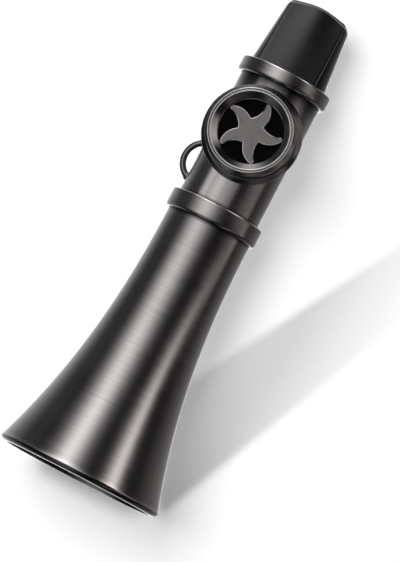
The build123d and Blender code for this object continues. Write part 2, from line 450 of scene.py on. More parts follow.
def bellProfile():
    # up the flare, over the end, down inside it, round the inner step and out along the rolled lip
    lipTop, edge = bell["lipHeight"], bell["footEdge"]
    rise = np.linspace(0, 1, bell["rows"])
    outerZ = lipTop + bell["crease"] + (bell["length"] - lipTop - bell["crease"]) * rise
    outerZ = np.union1d(outerZ, bell["collarLow"] - bell["paintedShade"] * np.linspace(0, 1, 6))
    outer = np.stack([flareRadius(outerZ), outerZ], 1)
    innerZ = bell["length"] - (bell["length"] - bell["lipBlend"]) * rise
    inner = np.stack([flareRadius(innerZ) - bell["wall"], innerZ], 1)
    inside = bell["rim"] - bell["lipWidth"]
    stepReach, stepRise = bell["step"]
    turn = np.linspace(0, np.pi / 2, 6)
    step = np.stack([inside + stepReach * np.sin(turn), lipTop + stepRise - stepRise * np.sin(turn)], 1)[::-1]
    drop = np.stack([np.full(4, inside), np.linspace(lipTop - 0.1, 2 * edge, 4)], 1)
    corner = np.stack([inside + edge * (1 - np.cos(turn)), edge * (1 - np.sin(turn))], 1)
    roll = np.linspace(0, np.pi / 2, 18)
    lip = np.stack([bell["rim"] - lipTop * (1 - np.sin(roll)), lipTop * (1 - np.cos(roll))], 1)
    # below 0: painted shade beside the collar, inside the bell and on the rolled lip
    paintedLightAndWearRows = [
        -np.clip(1 - (bell["collarLow"] - outerZ) / bell["paintedShade"], 0, 1),
        np.full(len(inner), -bell["shadeDepth"]),
        np.zeros(len(step) + len(drop)),
        bell["footWearAndSheen"] * np.sin(2 * turn),
        np.full(len(lip), -bell["shadeDepth"]),
    ]
    paintedLightAndWear = np.concatenate(paintedLightAndWearRows)
    # the crease, the inner foot and the lip's last rows are paler: wear with painted highlights
    paintedLightAndWear[:2] = bell["creaseWearAndSheen"]
    paintedLightAndWear[-2:] = bell["lipWearAndSheen"]
    return np.concatenate([outer, inner, step, drop, corner, lip]), paintedLightAndWear


loop, paintedLightAndWear = bellProfile()
putTurned("bellShell", loop, paintedLightAndWear, bell["segments"], bellMetal, "bell")
print("bell:", len(loop), "rows")


# tube and collars

tube = {
    "radius": 9.8,
    "wall": 1.05,
    "length": 34.7,
    "tenon": 6.0,
    "tenonRadius": 9.37,
    "port": 7.2,
    "portReach": (0.5, 12.0),  # heights over the tube's axis between which the port is bored
    "edge": 0.06,
    "seamLow": 68.7,  # top of the bell's collar
    "seamHigh": 99.2,  # foot of the mouthpiece's collar
    "paintedShade": (0.8, 3.6),  # heights of the painted shade beside the collars, below and above
    "cornerSteps": 5,
    "segments": 240,
    "portSegments": 128,
}
tubeEnd = bell["length"] + tube["length"]
tubeBore = tube["radius"] - tube["wall"]
skinGap = 0.03  # clearance of what sits on the tube


def tubeProfile():
    # the tenon in the bell and the straight tube; rows beside the collars carry painted shade, and they
    # stand on the outside, between its fourth and fifth corners
    low, edge, steps = bell["length"] - tube["tenon"], tube["edge"], tube["cornerSteps"]
    loop, paintedLightAndWear = roundedLoop([
        (tubeBore, low, edge, 0.3),
        (tube["tenonRadius"], low, edge, 0.3),
        (tube["tenonRadius"], bell["length"], edge, 0),
        (tube["radius"], bell["length"], edge, 0.2),
        (tube["radius"], tubeEnd, edge, 0.2),
        (tubeBore, tubeEnd, edge, 0.2),
    ], steps)
    share = np.linspace(0, 1, 6)
    # reaches of the painted shade above the bell's collar and below the mouth collar
    seamLow, seamHigh = tube["paintedShade"]
    seamZ = np.concatenate([tube["seamLow"] + seamLow * share, tube["seamHigh"] - seamHigh * share[::-1]])
    seams = np.stack([np.full(len(seamZ), tube["radius"]), seamZ], 1)
    outside = cornerStart(4, steps)
    loop = np.insert(loop, outside, seams, 0)
    return loop, np.insert(paintedLightAndWear, outside, np.concatenate([share - 1, -share]))


def portProfile():
    # a plain cylinder with slightly rounded ends
    low, high = tube["portReach"]
    return roundedLoop([
        (0.02, low, 0.005, 0),
        (tube["port"], low, 0.05, 0),
        (tube["port"], high, 0.05, 0),
        (0.02, high, 0.005, 0),
    ], 3)


def boreOut(piece, cutter):
    # the cutter's volume is taken out of the piece, and the result becomes the piece's own mesh
    cut = piece.modifiers.new("port", "BOOLEAN")
    cut.operation = "DIFFERENCE"
    cut.object = cutter
    cut.solver = "EXACT"
    shown = piece.evaluated_get(bpy.context.evaluated_depsgraph_get())
    bored = bpy.data.meshes.new_from_object(shown)
    piece.modifiers.clear()
    piece.data = bored
    bpy.data.objects.remove(cutter)


bodyTube = putTurned("bodyTube", *tubeProfile(), tube["segments"], bodyMetal, "body_tube")
portCutter = putTurned("portCutter", *portProfile(), tube["portSegments"], bodyMetal, None, onTurret=True)
boreOut(bodyTube, portCutter)
sharpen(bodyTube, 0.6)

collars = {
    "bellCollar": {
        "node": "bell_collar",
        "radius": 11.2,
        "low": bell["length"] - 2.6,
        "joint": bell["length"],
        "high": bell["length"] + 1.9,
        "lowBore": flareRadius(bell["length"] - 2.6) + skinGap,
        "highBore": tube["radius"] + skinGap,
    },
    "mouthCollar": {
        "node": "mouth_collar",
        "radius": 11.0,
        "low": tubeEnd - 2.3,
        "joint": tubeEnd,
        "high": tubeEnd + 1.2,
        "lowBore": tube["radius"] + skinGap,
        "highBore": 9.48,
    },
}
collarEdge = {"roll": 0.9, "crisp": 0.32, "inner": 0.06, "joint": 0.03, "steps": 9, "segments": 240}

for name, size in collars.items():
    # the crisp top edge is palest: wear with a painted highlight
    loop, paintedLightAndWear = roundedLoop([
        (size["lowBore"], size["low"], collarEdge["inner"], 0.25),
        (size["radius"], size["low"], collarEdge["roll"], 0.0),
        (size["radius"], size["high"], collarEdge["crisp"], 1.0),
        (size["highBore"], size["high"], collarEdge["inner"], 0.25),
        (size["highBore"], size["joint"], collarEdge["joint"], 0),
        (size["lowBore"], size["joint"], collarEdge["joint"], 0),
    ], collarEdge["steps"])
    putTurned(name, loop, paintedLightAndWear, collarEdge["segments"], bodyMetal, size["node"])
print("tube and collars: port bored", tube["port"], "mm in radius")


# mouthpiece

mouth = {
    "low": tubeEnd,
    "beakLow": tubeEnd + 1.2,
    "top": tubeEnd + 18.5,
    "seat": 9.45,
    "seatEdge": 0.05,
    "plug": (9.25, 7.5),  # radius at the base and the tip
    "flat": (6.2, 3.55),  # and how far the two flats stand from the axis there
    "arch": 21.0,
    "wall": 1.4,
    "tipEdge": (0.5, 1.25),  # rounding of the tip at the flats and at the sides
    "slotEdge": 0.3,
    "crown": 0.6,  # how far the flats bow out in their middle
    "crispness": 60.0,  # higher makes the edges of the two flats sharper
    "edgeLine": 0.014,  # half width of the painted highlight along those edges, as a share of the radius
    "edgeHighlight": 0.25,
    "tipLine": (0.25, 0.2),  # place and half width of the painted highlight round the tip, in radians
    "spigot": 8.72,
    "spigotBore": 7.22,
    "spigotLength": 6.0,
    "spigotEdge": 0.1,
    "columns": 440,
}


def beakShare(z):
    # 0 at the beak's foot and 1 at the height of its tip
    return (z - mouth["beakLow"]) / (mouth["top"] - mouth["beakLow"])


def plugRadius(z, inset):
    # a cone, less the inset
    return between(mouth["plug"], beakShare(z)) - inset


def flatRatio(angle, z, inset):
    # how far the round plug would stand past the slanted flats: 1 along their edges
    flat = between(mouth["flat"], beakShare(z)) - inset - mouth["crown"] * np.cos(angle) ** 2
    return plugRadius(z, inset) * np.abs(np.sin(angle)) / flat


def beakRadius(angle, z, inset):
    # a round plug met by two slanted flats: its radius over the p-th root of one plus the ratio's p-th power
    p = mouth["crispness"]
    return plugRadius(z, inset) * (1 + flatRatio(angle, z, inset) ** p) ** (-1 / p)


def archHeight(x):
    # the tip's top edge is an arc of a circle, seen from the front
    return mouth["top"] - mouth["arch"] + np.sqrt(mouth["arch"] ** 2 - x ** 2)


def beakRows(angle):
    # rows of (inset from the outside, height): up the wall, round the tip's edge, over it, down the channel
    edge = between(mouth["tipEdge"], np.cos(angle) ** 4)
    tip = np.full_like(angle, mouth["top"])
    for _ in range(6):  # the tip's height and its radius settle on each other
        tip = archHeight(beakRadius(angle, tip, 0) * np.cos(angle))
    wall, slot = mouth["wall"], mouth["slotEdge"]
    turn = np.linspace(0, np.pi / 2, 10)[:, None]
    rise = np.linspace(0, 1, 40)[:, None]
    over = np.linspace(0, 1, 5)[1:-1, None]
    outerZ = between((mouth["beakLow"], tip - edge), rise)
    inset = np.concatenate([
        0 * outerZ,
        edge * (1 - np.cos(turn)),
        edge + np.maximum(wall - slot - edge, 0.02) * over,
        wall - slot * (1 - np.sin(turn)) + 0 * tip,
    ])
    drop = np.concatenate([edge * (1 - np.sin(turn)), 0 * tip * over, slot * (1 - np.cos(turn)) + 0 * tip])
    x = beakRadius(angle, mouth["top"], inset[len(outerZ):]) * np.cos(angle)
    topZ = archHeight(x) - drop
    channelZ = between((topZ[-1], mouth["low"]), np.linspace(0, 1, 14)[1:, None])
    z = np.concatenate([outerZ, topZ, channelZ])
    inset = np.concatenate([inset, np.full(channelZ.shape, wall)])
    # pale lines along the flats' edges and round the tip are painted highlights
    paintedLightAndWear = np.zeros(z.shape)
    offEdge = (flatRatio(angle, outerZ, 0) - 1) / mouth["edgeLine"]
    paintedLightAndWear[:len(outerZ)] = mouth["edgeHighlight"] * np.exp(-offEdge ** 2)
    linePlace, lineHalf = mouth["tipLine"]
    paintedLightAndWear[len(outerZ):len(outerZ) + len(turn)] = np.exp(-((turn - linePlace) / lineHalf) ** 2)
    return inset, z, paintedLightAndWear


def beakGrid():
    # the spigot and seat are round rows, and the beak's rows stand on them
    angle = fullTurn(mouth["columns"])
    inset, z, paintedLightAndWear = beakRows(angle)
    low, beakLow, end = mouth["low"], mouth["beakLow"], mouth["low"] - mouth["spigotLength"]
    bore, spigot, seat = mouth["spigotBore"], mouth["spigot"], mouth["seat"]
    cut, edge = mouth["spigotEdge"], mouth["seatEdge"]
    foot = np.array([
        (bore, low),
        (bore, end + cut),
        (bore + cut, end),
        (spigot - cut, end),
        (spigot, end + cut),
        (spigot, low - 0.02),
        (spigot, low),
        (seat - edge, low),
        (seat, low + edge),
        (seat, beakLow - edge),
        (seat - edge, beakLow),
    ])
    full = np.ones_like(angle)
    radius = np.concatenate([foot[:, :1] * full, beakRadius(angle, z, inset)])
    paintedLightAndWear = np.concatenate([np.zeros((len(foot), len(angle))), paintedLightAndWear])
    z = np.concatenate([foot[:, 1:] * full, z])
    return np.stack([radius * np.cos(angle), radius * np.sin(angle), z], -1), paintedLightAndWear


grid, paintedLightAndWear = beakGrid()
beak = putPiece("mouthpieceBeak", [(grid, True, True, paintedLightAndWear)], moulding, "mouthpiece")
sharpen(beak, 0.7)
print("mouthpiece:", grid.shape[0], "rows")


# turret socket on the tube

socket = {
    "bore": 7.2,
    "saddleLow": 5.5,
    "saddleLowRadius": 8.1,
    "saddleTopRadius": 10.7,
    "flangeLow": 9.6,
    "flangeTop": 10.8,
    "flange": 11.45,
    "flangeRim": 0.4,
    "bevelInner": 10.45,
    "neck": 8.86,
    "neckTop": 12.3,
    "neckEdge": 0.08,
    "shadeDepth": 0.55,  # how far painted shade darkens the flange and saddle against the cap
    "ridge": 0.08,  # height of the screw thread
    "ridgeRun": 0.2,  # how soon it rises at its ends
    "pitch": 0.6,
    "cornerSteps": 6,
    "segments": 288,
}


def flangeRows():
    # the flange's five corners; the sides past them only close the outline, and their rows are left off
    size = socket
    loop, paintedLightAndWear = roundedLoop([
        (size["saddleTopRadius"], size["flangeLow"], 0.04, 0),
        (size["flange"], size["flangeLow"], 0.12, 0.3),
        (size["flange"], size["flangeLow"] + size["flangeRim"], 0.16, 1.15),
        (size["bevelInner"], size["flangeTop"], 0.08, 0.4),
        (size["neck"], size["flangeTop"], 0.03, 0),
        (size["neck"], size["neckTop"] + 1.0, 0.03, 0),
        (size["bore"], size["neckTop"] + 1.0, 0.03, 0),
        (size["bore"], size["saddleLow"], 0.03, 0),
    ], size["cornerSteps"])
    kept = slice(1, cornerStart(5, size["cornerSteps"]))
    return loop[kept], paintedLightAndWear[kept]


def socketGrid():
    # the saddle's skirt and bore run down to the tube, whose height at an offset x is sqrt(R^2 - x^2); the
    # flange and neck are turned, and the thread adds a ridge that climbs one pitch a turn
    size = socket
    angle = fullTurn(size["segments"])
    skin = tube["radius"] + skinGap
    slope = (size["saddleTopRadius"] - size["saddleLowRadius"]) / (size["flangeLow"] - size["saddleLow"])

    def skirtAt(height):
        return size["saddleLowRadius"] + slope * (height - size["saddleLow"])

    def skinAt(radius):
        return np.sqrt(np.maximum(skin ** 2 - (radius * np.cos(angle)) ** 2, 1.0))

    foot = np.full_like(angle, skin)
    for _ in range(30):  # the skirt's foot settles where the cone meets the tube
        foot = 0.5 * foot + 0.5 * skinAt(skirtAt(foot))
    footRadius = skirtAt(foot)
    share = np.linspace(0, 1, 8)[:, None]
    underRadius = between((size["bore"], footRadius), share)
    under = skinAt(underRadius)
    skirtZ = between((foot, size["flangeLow"]), share[1:-1])
    skirtRadius = between((footRadius, size["saddleTopRadius"]), share[1:-1])
    flange, flangeLightAndWear = flangeRows()
    neckZ = np.linspace(size["flangeTop"] + 0.1, size["neckTop"] - 0.1, 30)
    ends = np.clip(np.minimum(neckZ - neckZ[0], neckZ[-1] - neckZ) / size["ridgeRun"], 0, 1)[:, None]
    wave = 0.5 + 0.5 * np.cos(2 * np.pi * (neckZ[:, None] / size["pitch"] - angle / (2 * np.pi)))
    neckRadius = size["neck"] + size["ridge"] * ends * wave ** 2
    edge = size["neckEdge"]
    top = np.array([
        (size["neck"] - edge, size["neckTop"]),
        (size["bore"] + edge, size["neckTop"]),
        (size["bore"], size["neckTop"] - edge),
    ])
    boreZ = between((size["neckTop"] - 0.1, under[0]), np.linspace(0, 1, 6)[:-1, None])
    full = np.ones_like(angle)
    boreRadius = size["bore"] * np.ones_like(boreZ)
    radius = [underRadius, skirtRadius, flange[:, :1] * full, neckRadius, top[:, :1] * full, boreRadius]
    height = [under, skirtZ, flange[:, 1:] * full, neckZ[:, None] * full, top[:, 1:] * full, boreZ]
    radius, height = np.concatenate(radius), np.concatenate(height)
    paintedLightAndWear = np.zeros((len(radius), 1))
    start = len(underRadius) + len(skirtRadius)
    end = start + len(flange)
    paintedLightAndWear[start:end, 0] = flangeLightAndWear
    # painted shade over the saddle and flange; the flange's paler edges are wear with painted highlights
    paintedLightAndWear[:end] -= size["shadeDepth"]
    return turretPoints(radius * np.cos(angle), radius * np.sin(angle), height), paintedLightAndWear


grid, paintedLightAndWear = socketGrid()
socketPiece = putPiece("turretSocket", [(grid, True, True, paintedLightAndWear)], turretMetal, "turret_socket")
sharpen(socketPiece, 0.5)
print("socket: thread pitch", socket["pitch"], "mm")


# membrane stack

stack = {
    "bore": 7.5,
    "radius": 8.7,
    "gasket": (12.3, 12.7, 0.08),  # low, high and edge
    "filmTop": 12.8,
    "slipRing": (12.85, 13.45, 0.1),
    "crinkle": 0.012,  # how far the film's face wanders
    "segments": 160,
}


def washerLoop(bore, radius, low, high, edge):
    # a rectangle with four rounded corners
    corners = [(bore, low), (radius, low), (radius, high), (bore, high)]
    return roundedLoop([(*corner, edge, 0) for corner in corners], 5)


def filmGrid():
    # a flat disc whose front wanders by a few waves that die out at its clamped edge
    angle = fullTurn(stack["segments"])
    low, high = stack["gasket"][1], stack["filmTop"]
    radius = np.linspace(0, stack["bore"], 40)
    radius = np.concatenate([radius, [stack["radius"] - 0.02, stack["radius"]]])[:, None]
    fade = np.clip(1 - (radius / stack["bore"]) ** 4, 0, 1)
    wave = np.sin(1.9 * radius + 3 * angle) + np.sin(1.3 * radius * np.cos(angle - 0.7) + 2.1)
    lift = stack["crinkle"] * fade * wave * np.minimum(radius / 1.5, 1)
    top = high - 2 * stack["crinkle"] * fade + lift
    bottom = low + 0 * top
    radii = np.concatenate([radius, radius[::-1]])
    heights = np.concatenate([top, bottom])
    return turretPoints(radii * np.cos(angle), radii * np.sin(angle), heights)


segments = stack["segments"]
gasket = washerLoop(stack["bore"], stack["radius"], *stack["gasket"])
putTurned("seatGasket", *gasket, segments, rubber, "seat_gasket", "horn", "gasket_rubber", True)
putPiece("membraneFilm", [(filmGrid(), False, True, 0)], film, "membrane_film")
slip = washerLoop(stack["bore"], stack["radius"], *stack["slipRing"])
putTurned("slipRing", *slip, segments, ringSteel, "slip_ring", "cap_carrier", "slip_ring_steel", True)
print("membrane stack: gasket, film and slip ring")


# screw cap and star

cap = {
    "bore": 9.0,
    "radius": 10.35,
    "low": 10.92,
    "shoulder": 15.1,
    "shoulderTop": 15.7,
    "rimOuter": 9.7,
    "rimInner": 8.9,
    "rimTop": 16.4,
    "bead": 0.22,  # width of the two beads that a vee groove leaves on the rim
    "grooveDepth": 0.16,
    "coneLow": 7.55,
    "coneFoot": 15.5,
    "starTop": 14.4,
    "coneShade": 0.45,  # how far painted shade darkens the cone against the rest of the cap
    "segments": 288,
}


def capProfile():
    # up the outside, over the two beads of the rim, down the cone and under the star's seat
    grooveIn = cap["rimInner"] + cap["bead"]
    grooveOut = cap["rimOuter"] - cap["bead"]
    # the rim's beads and edges are paler: wear with painted highlights
    loop, paintedLightAndWear = roundedLoop([
        (cap["bore"], cap["low"], 0.06, 0),
        (cap["radius"], cap["low"], 0.15, 0.3),
        (cap["radius"], cap["shoulder"], 0.12, 0.35),
        (cap["rimOuter"], cap["shoulderTop"], 0.05, 0),
        (cap["rimOuter"], cap["rimTop"], 0.13, 1.0),
        (grooveOut, cap["rimTop"], 0.05, 0.8),
        ((grooveIn + grooveOut) / 2, cap["rimTop"] - cap["grooveDepth"], 0.04, 0),
        (grooveIn, cap["rimTop"], 0.05, 0.8),
        (cap["rimInner"], cap["rimTop"], 0.11, 1.0),
        (cap["coneLow"], cap["coneFoot"], 0.06, 0.35),
        (cap["coneLow"], cap["starTop"], 0.04, 0),
        (cap["bore"], cap["starTop"], 0.04, 0),
    ])
    coneFoot = cornerStart(9)  # the cone is the flat between this corner's first row and the row before
    # painted shade on the cone
    paintedLightAndWear[coneFoot - 1:coneFoot + 1] = -cap["coneShade"]
    return loop, paintedLightAndWear


putTurned("screwCap", *capProfile(), cap["segments"], turretMetal, "cap_ring", "cap", onTurret=True)

star = {
    "arms": 5,
    "low": 13.5,
    "top": 14.4,
    "valley": 3.05,
    "turn": 9.0,  # first arm's angle from +X
    "reach": 7.4,  # radius of the rounded tips
    "shoulder": 7.0,  # radius where their rounding starts
    "tipLag": 5.0,
    "tipLead": 6.0,
    "belly": 0.6,
    "hollow": 0.65,
    "bevel": 0.2,
    "ringBore": 7.63,
    "ringRadius": 8.97,
    "ringEdge": 0.05,
    "ringSegments": 200,
    "tabInner": 6.4,
    "tabOuter": 8.3,
    "tabWidth": 0.8,
    "tabTop": 13.9,
    "tabEdge": 0.04,
    "sideSteps": 30,
    "tipSteps": 14,
}


def polar(radius, degrees):
    # places at a radius and angles about the star's middle
    return radius * np.stack([np.cos(np.radians(degrees)), np.sin(np.radians(degrees))], -1)


def armMiddles():
    # the arms' angles, evenly round from the first
    return star["turn"] + 360 / star["arms"] * np.arange(star["arms"])


def starOutline():
    # for every arm: a bowed side out to the tip, a round tip, and a hollow side back to the next notch; each
    # is a chord plus a bow that is greatest in its middle
    pitch = 360 / star["arms"]
    middle = armMiddles()
    notch = polar(star["valley"], middle - pitch / 2)
    lag = polar(star["shoulder"], middle - star["tipLag"])
    lead = polar(star["shoulder"], middle + star["tipLead"])
    onward = polar(star["valley"], middle + pitch / 2)

    def side(start, end, bow, steps):
        t = np.linspace(0, 1, steps, endpoint=False)[:, None, None]
        run = end - start
        across = np.stack([run[:, 1], -run[:, 0]], -1) / np.linalg.norm(run, axis=1)[:, None]
        return start + run * t + across * bow * 4 * t * (1 - t)

    arms = np.concatenate([
        side(notch, lag, star["belly"], star["sideSteps"]),
        side(lag, lead, star["reach"] - star["shoulder"], star["tipSteps"]),
        side(lead, onward, -star["hollow"], star["sideSteps"]),
    ])
    return arms.transpose(1, 0, 2).reshape(-1, 2)


def plateGrid(line, low, top, bevel):
    # an outline stands up from its underside, is bevelled at the top and closes to its middle on both faces
    middle = line.mean(0)
    run = np.roll(line, -1, 0) - np.roll(line, 1, 0)
    outwards = np.stack([run[:, 1], -run[:, 0]], -1) / np.linalg.norm(run, axis=1)[:, None]
    turn = np.linspace(0, np.pi / 2, 5)
    inset = bevel * (1 - np.cos(turn))
    drop = bevel * (1 - np.sin(turn))
    shrink = np.concatenate([[0.985, 0.96], np.linspace(0.9, 0, 9)])
    inner = line - outwards * bevel
    rows = [middle + (line - middle) * s for s in shrink[::-1]] + [line]
    heights = [low] * len(rows)
    rows += [line - outwards * i for i in inset] + [middle + (inner - middle) * s for s in shrink]
    heights += [top - d for d in drop] + [top] * len(shrink)
    points = np.stack(rows)
    height = np.broadcast_to(np.array(heights)[:, None], points.shape[:2])
    paintedLightAndWear = np.zeros((len(rows), 1))
    first = len(shrink) + 1
    # the bevel is paler: wear with a painted highlight
    paintedLightAndWear[first:first + len(turn), 0] = 0.4, 0.9, 1.0, 0.9, 0.4
    return turretPoints(points[..., 0], points[..., 1], height), paintedLightAndWear


def tabOutline(degrees):
    # a narrow rectangle under an arm's tip, with points along its long sides
    run = np.linspace(star["tabInner"], star["tabOuter"], 8)
    half = np.full(8, star["tabWidth"] / 2)
    x = np.concatenate([run, run[::-1]])
    y = np.concatenate([-half, half])
    turn = math.radians(degrees)
    return np.stack([x * math.cos(turn) - y * math.sin(turn), x * math.sin(turn) + y * math.cos(turn)], -1)


plate, paintedLightAndWear = plateGrid(starOutline(), star["low"], star["top"], star["bevel"])
starGrids = [(plate, False, True, paintedLightAndWear)]
for middle in armMiddles():
    crown = middle + (star["tipLead"] - star["tipLag"]) / 2
    tab = plateGrid(tabOutline(crown), star["low"], star["tabTop"], star["tabEdge"])[0]
    starGrids.append((tab, False, True, 0))
loop = washerLoop(star["ringBore"], star["ringRadius"], star["low"], star["top"], star["ringEdge"])[0]
starGrids.append((turned(loop, star["ringSegments"], True), True, True, 0))
starPiece = putPiece("starGrille", starGrids, starMetal, "star_grille", "cap")
sharpen(starPiece, 0.6)
print("cap and star:", star["arms"], "arms")


# lanyard loop

lanyard = {
    "wire": 0.725,
    "ring": 4.75,
    "centreX": -7.8,
    "centreZ": 76.5,
    "endX": -9.35,  # the wire's ends stop inside the tube's wall
    "solder": 0.22,  # how far the wire thickens where it is soldered
    "solderRun": 0.5,
    # painted shade that darkens the whole wire
    "shadeDepth": 0.6,
}


def lanyardGrid():
    # a round wire carried along an arc, thicker by a bell curve at its soldered ends
    size = lanyard
    endAngle = math.acos((size["endX"] - size["centreX"]) / size["ring"])
    skinAngle = math.acos((-tube["radius"] - size["centreX"]) / size["ring"])
    path = np.linspace(endAngle, 2 * np.pi - endAngle, 90)
    fromSkin = size["ring"] * np.minimum(np.abs(path - skinAngle), np.abs(2 * np.pi - path - skinAngle))
    wire = size["wire"] + size["solder"] * np.exp(-(fromSkin / size["solderRun"]) ** 2)
    path = np.concatenate([path[:1], path, path[-1:]])[:, None]
    wire = np.concatenate([[0], wire, [0]])[:, None]
    around = fullTurn(40)
    reach = size["ring"] + wire * np.cos(around)
    x = size["centreX"] + reach * np.cos(path)
    z = size["centreZ"] + reach * np.sin(path)
    return np.stack([x, wire * np.sin(around), z], -1)


# the wire gets painted shade all over
putPiece("lanyardWire", [(lanyardGrid(), False, True, -lanyard["shadeDepth"])], bodyMetal, "lanyard_loop")
print("lanyard loop: wire", 2 * lanyard["wire"], "mm")


# stage

stageLook = {
    "floorReach": 0.55,  # half of the floor's side, in metres
    "floorFade": (0.20, 0.55),  # distances from the middle where it starts to fade out and is gone
    "floorLift": 0.70,  # light that the floor gives of itself, so that it reads as white
    "tableFoot": 20.25,  # the pale table behind the part touches the bell's rim, in millimetres
    "tableSlope": 0.0889,  # and leans to the mouth collar
    "tableReach": 0.5,
    "tableFade": (0.045, 0.075),
    "tableFlat": (1, 0, 0.25),  # it fades faster to the sides than up and down
    "tableLift": 0.03,
    "paint": ((0.80, 0.80, 0.80, 1), (0.82, 0.82, 0.82, 1)),
    "sheetSteps": 24,
    "ambient": 0.16,
    "cardReach": 60,
    "cards": {  # shadow's corners on the table, across and up, and how far off the card is
        "longCard": (((19, 2.5), (51, 73.5), (44, 89.5), (0, 13.5)), 310.0),
        "lipCard": (((-14, 7), (15, 7), (13, -1.5), (-12, -1.5)), 640.0),
    },
    "cardStops": {  # millimetres across, and the share of the light that is stopped there
        "longCard": (
            (12, 0.36), (15, 0.38), (17.5, 0.51), (21, 0.73), (24, 0.88),
            (27, 0.92), (31, 0.76), (36, 0.52), (48, 0.12), (52, 0.0),
        ),
        "lipCard": ((0, 0.95), (17, 0.7)),
    },
}
tableSuns = {  # (strength, degrees across, the way the light travels)
    "longSun": (1.60, 0.5, (0, 1, 0.09)),
    "closeSun": (2.05, 36.0, (0.33, 0.93, -0.12)),
}


def seenRays(tree):
    # 1 where the camera, a mirror or a clear piece looks, and 0 where something matt gathers light
    rays = addNode(tree, "LightPath").outputs
    mirrored = reckon(tree, "MAXIMUM", rays["Is Glossy Ray"], rays["Is Transmission Ray"])
    return reckon(tree, "MAXIMUM", rays["Is Camera Ray"], mirrored)


def stageSurface(name, lift, centre, flat, fadeFrom, fadeTo):
    # a pale matt face, seen from its front only, that fades out with distance and adds some light of its own
    material, tree, output = startPlain(name)
    paint = mixColour(tree, noiseAt(tree, objectAt(tree, (30, 30, 30)), 3.0), *stageLook["paint"])
    matt = addNode(tree, "BsdfDiffuse", {"Color": paint}).outputs[0]
    strength = product(tree, seenRays(tree), lift)
    glow = addNode(tree, "Emission", {"Color": (1, 1, 1, 1), "Strength": strength}).outputs[0]
    face = addNode(tree, "AddShader", {0: matt, 1: glow}).outputs[0]
    place = objectAt(tree, flat, centre)
    away = addNode(tree, "VectorMath", {0: place}, operation="LENGTH").outputs["Value"]
    behind = addNode(tree, "NewGeometry").outputs["Backfacing"]
    ahead = reckon(tree, "SUBTRACT", 1.0, behind)
    shown = product(tree, mapped(tree, away, fadeFrom, fadeTo, 1.0, 0.0), ahead)
    clear = addNode(tree, "BsdfTransparent").outputs[0]
    mixed = addNode(tree, "MixShader", {0: shown, 1: clear, 2: face}).outputs[0]
    fill(tree, output, {"Surface": mixed})
    return material


def cardSurface(name):
    # a clear face that stops more or less light along its way across
    material, tree, output = startPlain(name)
    reach = stageLook["cardReach"]
    shares = stageLook["cardStops"][name]
    place = addNode(tree, "SeparateXYZ", {0: objectAt(tree, (1 / (reach * mm),) * 3)})
    fade = addNode(tree, "ValToRGB", {0: place.outputs[0]})
    stops = fade.color_ramp.elements
    for across, _ in shares[2:]:  # a new ramp has two stops
        stops.new(across / reach)
    for stop, (across, share) in zip(stops, shares):
        stop.position = across / reach
        stop.color = (1 - share, 1 - share, 1 - share, 1)
    clear = addNode(tree, "BsdfTransparent", {0: fade.outputs[0]}).outputs[0]
    fill(tree, output, {"Surface": clear})
    return material


def hideFrom(thing, *rays):
    for ray in rays:
        setattr(thing, "visible_" + ray, False)


def stageSheet(name, reach, place, material):
    # a square sheet: place turns its two sides, each from -reach to reach, into a point in metres
    steps = stageLook["sheetSteps"]
    side = np.linspace(-reach, reach, steps)
    points = place(*np.meshgrid(side, side, indexing="ij"))
    mesh = bpy.data.meshes.new(name)
    mesh.from_pydata(points.reshape(-1, 3), [], gridQuads(steps, steps, False, False)[:, ::-1])
    mesh.materials.append(material)
    sheet = addObject(name, mesh)
    hideFrom(sheet, "shadow", "glossy", "diffuse")
    return sheet


def floorPoints(across, along):
    # the floor lies level at the part's foot
    return np.stack([across, along, 0 * across], -1)


def tablePoints(across, up):
    # the table is a plane that leans forwards as it rises, in millimetres
    return np.stack([across, stageLook["tableFoot"] - stageLook["tableSlope"] * up, up], -1)


def tableSheet(across, up):
    # the same plane in metres, about the part's middle
    return tablePoints(across / mm, up / mm + partMiddle[2] / mm) * mm


floorFace = stageSurface("paleFloor", stageLook["floorLift"], (0, 0, 0), (1, 1, 1), *stageLook["floorFade"])
stageSheet("floor", stageLook["floorReach"], floorPoints, floorFace)
tableFace = stageSurface(
    "paleTable", stageLook["tableLift"], partMiddle, stageLook["tableFlat"], *stageLook["tableFade"])
table = stageSheet("table", stageLook["tableReach"], tableSheet, tableFace)

# unseen cards, far out along the long sun's rays, stop that sun and nothing else
cards = []
for name, (corners, gap) in stageLook["cards"].items():
    across, up = np.array(corners, float)[[0, 1, 3, 2]].T
    points = tablePoints(across, up) - gap * np.array(tableSuns["longSun"][2])
    card = putPiece(name, [(points.reshape(2, 2, 3), False, False, 0)], cardSurface(name))
    hideFrom(card, "camera", "diffuse", "glossy", "transmission")
    cards.append(card)


def linked(name, things, state="INCLUDE"):
    # a list for a lamp that holds these things, or everything else
    group = bpy.data.collections.new(name)
    for entry, thing in enumerate(things):
        group.objects.link(thing)
        group.collection_objects[entry].light_linking.link_state = state
    return group


tableOnly = linked("tableOnly", [table])
notTable = linked("notTable", [table], "EXCLUDE")
cardOnly = linked("cardOnly", cards)
notCard = linked("notCard", cards, "EXCLUDE")
tubeOnly = linked("tubeOnly", [bodyTube])


def putLight(name, kind, lit, blockers):
    # a lamp that lights one list of things and is blocked by another
    light = addObject(name, bpy.data.lights.new(name, kind))
    light.light_linking.receiver_collection = lit
    light.light_linking.blocker_collection = blockers
    return light


for name, (strength, across, run) in tableSuns.items():
    sun = putLight(name, "SUN", tableOnly, cardOnly if name == "longSun" else notCard)
    sun.data.energy = strength
    sun.data.angle = math.radians(across)
    sun.rotation_euler = Vector(run).to_track_quat("-Z", "Y").to_euler()

